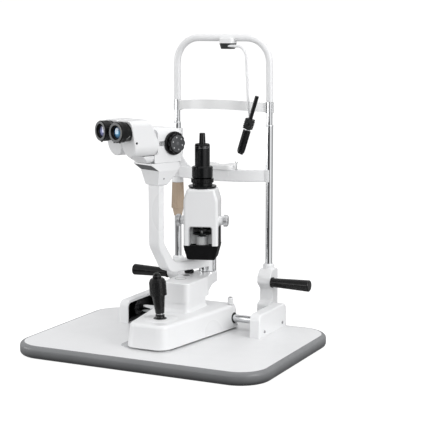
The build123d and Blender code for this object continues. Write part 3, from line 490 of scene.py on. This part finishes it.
# ------------------------------------------------------------------ microscope
def eyepiece(side, reflection_finish):
    """Eye lens with its cell, grey eyecup face, small eyecup pins and a painted highlight on the barrel."""
    joint = JOINTS[f"diopter_{side}"]
    axis, origin = Vector(joint["axis"]), Vector(joint["pos_m"])
    ring = [vertex.co - origin for vertex in frame["nodes"][f"diopter_ring_{side}"].data.vertices]
    front = max(point.dot(axis) for point in ring)
    ring_r = max((point - axis * point.dot(axis)).length for point in ring) / MM
    face = basis(origin + axis * front, JOINTS["drum_turn"]["axis"], axis)
    tube, dial = f"tube_{side}", f"diopter_{side}"

    lens = dome(13.4, -7.0, -3.6)
    lathe(f"eye_lens_{side}", lens, face, reflection_finish, tube, steps=FINE)
    cell = [(13.2, -9.6), (15.1, -9.6), (15.1, -4.9), (14.4, -4.5), (13.0, -5.4), (13.2, -8.0)]
    lathe(f"eye_lens_cell_{side}", cell, face, FINISHES["black_anodised"], tube,
          0.15, steps=FINE, closed=True)
    cup = [(15.7, -0.4), (20.9, -0.4), (20.9, 0.1), (20.2, 0.4), (16.2, 0.4), (15.7, 0.0)]
    lathe(f"eyecup_face_{side}", cup, face, CUP_GREY, dial, 0.1, steps=FINE, closed=True)

    pin = [(0.0, 3.2), (1.3, 3.2), (1.9, 2.5), (1.9, -0.8), (0.0, -0.8)]
    pin_sunk, pin_back = 1.2, 4.0
    pin_turns = {"right": (-66, -112), "left": (-88,)}
    for index, turn in enumerate(pin_turns[side]):
        foot = outward(turn) * (ring_r - pin_sunk) - Vector((0, 0, pin_back))
        place = face @ basis(foot * MM, (0, 0, 1), outward(turn))
        lathe(f"eyecup_pin_{side}_{index}", pin, place, FINISHES["black_grip"], dial,
              0.15, steps=28)

    # Painted highlight: a pale dash on the barrel where light glints.
    mark = [(-5.0, -0.9), (5.0, -1.2), (5.6, 0.0), (5.0, 1.2), (-5.0, 0.9)]
    barrel_r, mark_back, mark_turn, mark_lean = 21.45, 20.0, -30, (-0.45, -0.5, 0.75)
    on_barrel = outward(mark_turn) * barrel_r - Vector((0, 0, mark_back))
    place = face @ basis(on_barrel * MM, mark_lean, outward(mark_turn))
    slab(f"barrel_glint_{side}", mark, 0.5, place, DOT_METAL, tube, 0.05)


def drum_dial(side):
    """Dark dial face and hub on the magnification knob, with six pale dots."""
    low, high = span("drum_knobs", SCOPE)
    centre = (low + high) / 2
    end = high.x if side == "right" else low.x
    place = spot(SCOPE, (end, centre.y, centre.z), (SIGNS[side], 0, 0), (0, 0, 1))
    dial = [(0.0, -0.2), (0.0, 0.15), (5.2, 0.15), (5.6, 0.45), (17.6, 0.45), (18.7, 0.1), (18.7, -0.2)]
    lathe(f"drum_dial_{side}", dial, place, DIAL_GREY, "drum", 0.08, steps=FINE)
    hub = [(0.0, 0.9), (3.6, 0.9), (4.3, 0.5), (4.3, 0.0), (0.0, 0.0)]
    lathe(f"drum_hub_{side}", hub, place, SHADE_GREY, "drum", 0.1, steps=40)
    dots, first_turn, circle_r, rise = 6, 12, 13.6, 0.4
    for index in range(dots):
        shift = outward(360 / dots * index + first_turn) * circle_r + Vector((0, 0, rise))
        dot = place @ Matrix.Translation(shift * MM)
        lathe(f"drum_dot_{side}_{index}", dome(1.9, 0.0, 0.8), dot, DOT_METAL, "drum",
              steps=28)


def neck_lines():
    """Foot and tip of the sloping underside of the neck's nose, in the microscope's frame.

    The foot is the highest point of the upright face that starts a little below the tip.
    """
    nose = corners("scope_head", SCOPE)
    near, drop, half_width = 0.3, 6.0, 34.0
    reach = min(point.y for point in nose)
    tip = Vector((0.0, reach, min(point.z for point in nose if point.y < reach + near)))
    below = [point for point in nose if point.z < tip.z - drop and abs(point.x) < half_width]
    front = min(point.y for point in below)
    foot = Vector((0.0, front, max(point.z for point in below if point.y < front + near)))
    return foot, tip


def neck_underside_shade():
    """Painted shade: dark skin under the neck's nose, where its sloping underside lies in shade; and a fine
    line down the face below it.
    """
    foot, tip = neck_lines()
    slope = tip - foot
    place = spot(SCOPE, foot, (0.0, slope.z, -slope.y), (1, 0, 0))
    length = (place.inverted() @ (SCOPE @ (tip * MM))).y / MM
    near, far = length * 0.02, length * 0.97
    half_foot, half_tip = 31.5, 29.5
    skin = [(-half_foot, near), (half_foot, near), (half_tip, far), (-half_tip, far)]
    # Painted shade on the nose's sloping underside.
    slab("neck_under_shade", skin, -0.35, place, SHADE_GREY, "microscope", 0.05)
    back, drop, face_lean = 2.6, 16.0, (0.0, -1.0, -0.13)
    face = spot(SCOPE, (0.0, foot.y + back, foot.z - drop), face_lean, (0, 0, 1))
    line = [(-14.0, -0.2), (14.0, -0.2), (14.0, 0.2), (-14.0, 0.2)]
    slab("head_front_seam", line, 0.3, face, GREY_TRIM_AND_SHADE, "microscope")


def head_seam():
    """Shadow line where the microscope's body sits on its head."""
    shelf_z = span("scope_body", SCOPE)[0].z
    seam("head_seam", "scope_body", SCOPE, 2, shelf_z, "microscope", 0.3)


def shelf_shade_patch(side):
    """Painted shade: grey sheet behind the prism housings, above the shelf, where the body's front lies in
    shade.
    """
    gap = 4.2
    front = span("prism_housing_right", SCOPE)[1].y + gap
    shelf_z = span("scope_body", SCOPE)[0].z
    place = spot(SCOPE, (0.0, front, shelf_z), (0, -1, 0), (1, 0, 0))
    shape = [(15.0, 0.6), (29.5, 0.6), (29.5, 19.5), (27.0, 19.5)]
    shade_patch_outline = [(SIGNS[side] * x, y) for x, y in shape]
    slab(f"shelf_shade_patch_{side}", shade_patch_outline, 0.35, place, GREY_TRIM_AND_SHADE, "microscope", 0.08)


def side_screws(side):
    """Screw in the head's flank, and the black one in the prism housing."""
    sign = SIGNS[side]
    flank, flank_out = (sign * 27.4, -150.0, 379.5), (sign * 0.95, 0, -0.306)
    screw(f"bracket_screw_{side}", SCOPE, flank, flank_out, 1.9, FINISHES["steel"], "microscope")
    housing = (sign * 49.5, -241.0, 465.0)
    screw(f"prism_screw_{side}", SCOPE, housing, (sign, 0, 0), 2.7, FINISHES["black_grip"],
          f"tube_{side}")


def objective():
    """Objective lens in its ring, with a painted line round the ring's rim."""
    low, high = span("objective_ring", SCOPE)
    place = spot(SCOPE, (0.0, high.y, (low.z + high.z) / 2), (0, 1, 0))
    lens = dome(14.9, -8.4, -6.0)
    lathe("objective_lens", lens, place, GLASS, "microscope", steps=FINE)
    line = [(24.5, -0.2), (25.4, -0.2), (25.4, 0.25), (24.5, 0.25)]
    lathe("objective_line", line, place, PALE_PAINT, "microscope", 0.05, steps=FINE,
          closed=True)


# ------------------------------------------------------------------ illumination unit
def lamp_glass():
    """Condenser, projection lens with two lines round its tube, and the slanted mirror."""
    tube_low, tube_high = span("projection_tube", LAMP)
    axis_y = (tube_low.y + tube_high.y) / 2
    source_top = span("light_source", LAMP)[1].z
    condenser_y = axis_y - 4.0
    top = spot(LAMP, (0.0, condenser_y, source_top))
    lathe("condenser_lens", dome(9.6, 0.9, 3.1), top, GLASS, "lamp", steps=56)
    rim = [(9.6, -0.2), (13.6, -0.2), (13.6, 0.5), (12.6, 0.9), (9.6, 0.9)]
    lathe("condenser_rim", rim, top, PALE_METAL, "lamp", 0.12, steps=56, closed=True)

    lens_drop = 44.0
    lens = spot(LAMP, (0.0, axis_y, tube_high.z - lens_drop))
    lathe("projection_lens", dome(12.8, 0.0, 2.6), lens, GLASS, "lamp", steps=56)
    line = [(17.0, -0.25), (17.15, -0.25), (17.15, 0.25), (17.0, 0.25)]
    for index, drop in enumerate((6.0, 9.0)):
        place = spot(LAMP, (0.0, axis_y, tube_high.z - drop))
        lathe(f"tube_line_{index}", line, place, FINISHES["steel"], "lamp", steps=FINE,
              closed=True)

    mirror_drop, mirror_faces = 15.5, (0.0, 15.0, -8.4)
    mirror_z = span("mirror_holder", LAMP)[1].z - mirror_drop
    place = spot(LAMP, (0.0, axis_y, mirror_z), mirror_faces, (1, 0, 0))
    plate = [(-3.9, -8.2), (3.9, -8.2), (3.9, 8.2), (-3.9, 8.2)]
    slab("lamp_mirror", plate, 0.9, place, MIRROR, "lamp", 0.1)


def lamp_window():
    """Pale lining inside the lamp's window, cut away where the two discs turn."""
    low, high = span("window_frame", LAMP)
    disc_low, disc_high = span("filter_disc", LAMP)
    disc_middle = (disc_low + disc_high) / 2
    wall, gap, behind_middle = 1.7, 0.8, 3.0
    outer, inner = high.x - wall, disc_high.x + gap
    sill, ledge = low.z + 0.6, disc_low.z - gap
    shoulder, head = high.z - 8.0, high.z - 4.0
    outline = [(-outer, sill), (outer, sill), (outer, shoulder), (inner, head), (inner, ledge),
               (-inner, ledge), (-inner, head), (-outer, shoulder)]
    place = spot(LAMP, (0.0, disc_middle.y + behind_middle, 0.0), (0, -1, 0), (1, 0, 0))
    slab("window_back", outline, 0.8, place, SATIN, "lamp", 0.1)


def lamp_shell_seam():
    """Shadow line between the lamp's two shells."""
    parting_y = span("lamp_rear_cover", LAMP)[0].y
    seam("lamp_shell_seam", "lamp_rear_cover", LAMP, 1, parting_y, "lamp", 0.22)


def cap_screw(side):
    """Screw through the flank of the lamp's black cap."""
    sign = SIGNS[side]
    low, high = span("lamp_cap", LAMP)
    inset, rise, head_height = 7.2, 13.0, 0.6
    position = (sign * (high.x - inset), (low.y + high.y) / 2, low.z + rise)
    screw(f"cap_screw_{side}", LAMP, position, (sign * 0.97, 0, -0.24), 1.5, FINISHES["steel"],
          "lamp", head_height)


def slit_knob_face(side):
    """Bright crowned face on the end of a slit-width knob."""
    low, high = span("slit_knobs", LAMP)
    shaft = LAMP.inverted() @ Vector(JOINTS["slit_width"]["pos_m"]) / MM
    end = high.x if side == "right" else low.x
    place = spot(LAMP, (end, shaft.y, (low.z + high.z) / 2), (SIGNS[side], 0, 0), (0, 0, 1))
    face = [(0.0, 0.55), (4.0, 0.5), (7.6, 0.2), (9.4, -0.1), (9.4, -0.5), (0.0, -0.5)]
    lathe(f"slit_knob_face_{side}", face, place, PALE_METAL, "slit_width", steps=48)


# ------------------------------------------------------------------ base, tower and rails
def joystick_foot():
    """Low pad on the base, and the black boot that the joystick comes out of."""
    stick = Vector(JOINTS["joystick_fore_aft"]["pos_m"]) / MM
    ball_height = 10.5
    flat = spot(TABLE, (stick.x, stick.y, stick.z - ball_height))
    pad = [(9.0, -0.3), (39.0, -0.3), (39.4, 0.25), (38.6, 0.7), (9.0, 0.7)]
    lathe("base_pad", pad, flat, FINISHES["white_enamel"], "base", 0.2, steps=96,
          closed=True)
    boot = [(8.7, 0.6), (14.6, 0.6), (14.6, 1.6), (13.2, 2.3), (11.0, 2.6), (10.2, 4.2), (9.8, 9.3),
            (8.7, 9.3)]
    lathe("joystick_boot", boot, flat, FINISHES["black_grip"], "base", 0.25, steps=FINE,
          closed=True)


def lock_screw_cap():
    """Dark cap let into the top of the lock screw."""
    low, high = span("lock_screw")
    top = spot(TABLE, ((low.x + high.x) / 2, (low.y + high.y) / 2, high.z))
    cap = [(0.0, 0.35), (3.9, 0.2), (4.7, -0.1), (4.7, -0.4), (0.0, -0.4)]
    lathe("lock_screw_cap", cap, top, SHADE_GREY, "lock_screw", steps=40)


def tower_plugs():
    """Two round plugs in the tower's top, each in a grey rim."""
    top_z = span("tower_housing")[1].z
    plugs = (("front", -11.3, 51.5, 13.2, FINISHES["white_plastic"]),
             ("rear", -15.3, 87.7, 8.2, DIAL_GREY))
    for name, x, y, radius, finish in plugs:
        place = spot(TABLE, (x, y, top_z))
        inner = radius - 1.6
        rim = [(inner, -0.3), (radius, -0.3), (radius, 0.35), (inner, 0.55)]
        lathe(f"tower_plug_rim_{name}", rim, place, GREY_TRIM_AND_SHADE, "tower", 0.1, steps=56,
              closed=True)
        crown = dome(inner - 0.1, 0.1, 0.5)
        lathe(f"tower_plug_{name}", crown, place, finish, "tower", steps=56)


def rail_liner(side):
    """Black lining inside a rail cover, open towards the middle and below."""
    low, high = span("rail_covers")
    front_wall, rear_wall, roof, skin = 3.5, 5.0, 6.0, 0.3
    outer_inset, inner_inset, lift, arch_r, arc_steps = 3.3, 23.8, 0.2, 10.7, 8
    inner, outer = [SIGNS[side] * (high.x - inset) for inset in (inner_inset, outer_inset)]
    front, rear = low.y + front_wall + skin, high.y - rear_wall - skin
    top, bottom = high.z - roof - skin, low.z + lift
    arch = [(front, bottom)]
    for centre_y, start in ((front + arch_r, 180), (rear - arch_r, 90)):
        for step in range(arc_steps + 1):
            along = outward(start - 90 * step / arc_steps) * arch_r
            arch.append((centre_y + along.x, top - arch_r + along.y))
    arch.append((rear, bottom))
    count = len(arch)
    vertices = [(inner, y, z) for y, z in arch] + [(outer, y, z) for y, z in arch]
    faces = [(index, index + 1, count + index + 1, count + index) for index in range(count - 1)]
    faces.append(tuple(range(count, 2 * count)))
    piece = mesh_piece(f"rail_liner_{side}", vertices, faces, TABLE)
    modifier = piece.modifiers.new("skin", "SOLIDIFY")
    modifier.thickness = 0.25 * MM
    modifier.offset = 0.0
    finish_piece(piece, FINISHES["black_rubber"], "stand")


# ------------------------------------------------------------------ headrest
def fixation_trim():
    """Collar and small lens along the fixation lamp's leaning axis, and the cap on its pin."""
    body, end_share = "fixation_lamp", 50
    points = sorted(corners("fixation_lamp_body"), key=lambda point: point.z)
    count = len(points) // end_share
    foot = sum(points[:count], Vector()) / count
    head = sum(points[-count:], Vector()) / count
    along = (foot - head).normalized()
    pivot = Vector(JOINTS["fixation_tilt"]["pos_m"]) / MM
    beside_pivot = head + along * (pivot - head).dot(along)

    collar = [(4.5, 12.9), (5.4, 12.9), (5.7, 13.4), (5.7, 15.2), (5.4, 15.7), (4.5, 15.7)]
    place = spot(TABLE, beside_pivot, along, (0, 1, 0))
    lathe("fixation_collar", collar, place, PALE_METAL, body, 0.12, steps=48, closed=True)
    clamp_front = span("fixation_lamp_body")[0].y
    pin_end = spot(TABLE, (pivot.x, clamp_front, pivot.z), (0, -1, 0))
    lathe("fixation_pin_cap", dome(3.2, 0.2, 0.9), pin_end, FINISHES["black_grip"], body,
          steps=36)
    tip = spot(TABLE, foot, along, (0, 1, 0))
    lathe("fixation_lens", dome(3.0, 0.3, 1.2), tip, GLASS, body, steps=32)


def post_ring():
    """Thin bright ring where the right post steps down; the chin rest slides over the left one."""
    low, high = span("posts")
    post_r, ring_height = 8.25, 485.2
    place = spot(TABLE, (high.x - post_r, (low.y + high.y) / 2, ring_height))
    ring = [(7.4, -1.6), (8.6, -1.6), (8.75, -1.0), (8.75, 0.6), (8.2, 1.6), (7.4, 1.9)]
    lathe("post_ring", ring, place, PALE_METAL, "stand", 0.1, steps=56, closed=True)


# ------------------------------------------------------------------ stage
def camera():
    """Camera on the examiner's right, just above the instrument's top and looking slightly down."""
    turn, lift = math.radians(25.93), math.radians(9.11)
    position = (1.3137, -2.4627, 0.731)
    back = Vector((math.sin(turn) * math.cos(lift), -math.cos(turn) * math.cos(lift), math.sin(lift)))
    data = bpy.data.cameras.new("camera")
    data.lens = 103.35
    data.sensor_width = 36.0
    data.clip_end = 30.0
    eye = bpy.data.objects.new("camera", data)
    right = Vector((math.cos(turn), math.sin(turn), 0.0))
    eye.matrix_world = basis(position, right, back)
    bpy.context.scene.collection.objects.link(eye)
    bpy.context.scene.camera = eye


def floor():
    """Pale floor that reads as clean white paper."""
    mesh = bpy.data.meshes.new("floor")
    reach, level = 12.0, -0.0005
    corner_signs = ((-1, -1), (1, -1), (1, 1), (-1, 1))
    mesh.from_pydata([(x * reach, y * reach, level) for x, y in corner_signs], [], [(0, 1, 2, 3)])
    plane = bpy.data.objects.new("floor", mesh)
    bpy.context.scene.collection.objects.link(plane)
    paper = bpy.data.materials.new("paper")
    paper.use_nodes = True
    nodes, links = paper.node_tree.nodes, paper.node_tree.links
    nodes.clear()
    glow = nodes.new("ShaderNodeEmission")
    glow.inputs["Strength"].default_value = 0.9
    matt = nodes.new("ShaderNodeBsdfDiffuse")
    matt.inputs["Color"].default_value = (0.28, 0.28, 0.28, 1.0)
    both = nodes.new("ShaderNodeAddShader")
    output = nodes.new("ShaderNodeOutputMaterial")
    links.new(glow.outputs[0], both.inputs[0])
    links.new(matt.outputs[0], both.inputs[1])
    links.new(both.outputs[0], output.inputs["Surface"])
    mesh.materials.append(paper)
    plane.visible_diffuse = False
    plane.visible_glossy = False


def surroundings():
    """White room: bright above, dim below, with upright soft panels for polished metal to reflect."""
    world = bpy.data.worlds.new("room")
    bpy.context.scene.world = world
    world.use_nodes = True
    nodes, links = world.node_tree.nodes, world.node_tree.links
    nodes.clear()
    parts = nodes.new("ShaderNodeSeparateXYZ")
    links.new(nodes.new("ShaderNodeTexCoord").outputs["Generated"], parts.inputs[0])

    def ramp(value, stops):
        """Grey level from (position, level) stops."""
        node = nodes.new("ShaderNodeValToRGB")
        node.color_ramp.interpolation = "EASE"
        elements = node.color_ramp.elements
        while len(elements) < len(stops):
            elements.new(0.5)
        for element, (position, level) in zip(elements, stops):
            element.position = position
            element.color = (level, level, level * 1.01, 1.0)
        links.new(value, node.inputs[0])
        return node.outputs["Color"]

    def math_node(operation, *values):
        node = nodes.new("ShaderNodeMath")
        node.operation = operation
        for socket, value in zip(node.inputs, values):
            if isinstance(value, float):
                socket.default_value = value
            else:
                links.new(value, socket)
        return node.outputs[0]

    lift = math_node("MULTIPLY_ADD", parts.outputs["Z"], 0.5, 0.5)
    by_height = ramp(lift, [(0.0, 0.35), (0.38, 0.52), (0.50, 0.74), (0.70, 0.80), (1.0, 0.70)])
    turn = math_node("ARCTAN2", parts.outputs["Y"], parts.outputs["X"])
    around = math_node("MULTIPLY_ADD", turn, 0.5 / math.pi, 0.5)
    panels = ramp(around, [(0.0, 0.55), (0.12, 0.5), (0.17, 0.10), (0.34, 0.05), (0.375, 1.0), (0.475, 1.0),
                           (0.53, 0.5), (0.62, 0.42), (0.76, 0.30), (0.84, 0.45), (1.0, 0.55)])
    off_level = math_node("ABSOLUTE", math_node("ADD", parts.outputs["Z"], 0.10))
    near_level = ramp(off_level, [(0.0, 1.0), (0.22, 0.85), (0.36, 0.0)])
    mix = nodes.new("ShaderNodeMix")
    mix.data_type = "RGBA"
    links.new(near_level, mix.inputs[0])
    links.new(by_height, mix.inputs[6])
    links.new(panels, mix.inputs[7])
    room_light = nodes.new("ShaderNodeBackground")
    links.new(mix.outputs[2], room_light.inputs["Color"])
    white = nodes.new("ShaderNodeBackground")
    white.inputs["Color"].default_value = (1.0, 1.0, 1.0, 1.0)
    white.inputs["Strength"].default_value = 1.05
    pick = nodes.new("ShaderNodeMixShader")
    links.new(nodes.new("ShaderNodeLightPath").outputs["Is Camera Ray"], pick.inputs[0])
    links.new(room_light.outputs[0], pick.inputs[1])
    links.new(white.outputs[0], pick.inputs[2])
    output = nodes.new("ShaderNodeOutputWorld")
    links.new(pick.outputs[0], output.inputs["Surface"])


def soft_light(name, location, target, size, watts):
    """Rectangular area light turned to the target."""
    data = bpy.data.lights.new(name, "AREA")
    data.shape = "RECTANGLE"
    data.size, data.size_y = size
    data.energy = watts
    lamp = bpy.data.objects.new(name, data)
    aim = Vector(location) - Vector(target)
    level_side = Vector((0, 0, 1)).cross(aim)
    lamp.matrix_world = basis(location, level_side, aim)
    bpy.context.scene.collection.objects.link(lamp)


camera()
floor()
surroundings()
subject = (cad_box[0] + cad_box[1]) / 2
soft_light("key", (2.5, -0.7, 1.2), subject, (1.4, 1.6), 34.0)
soft_light("overhead", (0.2, 0.4, 2.6), subject, (1.6, 1.6), 14.0)
soft_light("front_fill", (-0.7, -2.6, 0.75), subject, (1.4, 1.0), 9.0)
soft_light("left_fill", (-2.5, -1.1, 0.6), subject, (1.2, 1.2), 18.0)
bpy.context.scene.view_settings.view_transform = "Standard"

# Each eye lens gets its own painted reflection tint.
for side, reflection_finish in (("right", AZURE_REFLECTION), ("left", VIOLET_REFLECTION)):
    eyepiece(side, reflection_finish)
    drum_dial(side)
    side_screws(side)
    shelf_shade_patch(side)
    rail_liner(side)
    slit_knob_face(side)
    cap_screw(side)
neck_underside_shade()
head_seam()
objective()
lamp_glass()
lamp_window()
lamp_shell_seam()
joystick_foot()
lock_screw_cap()
tower_plugs()
fixation_trim()
post_ring()
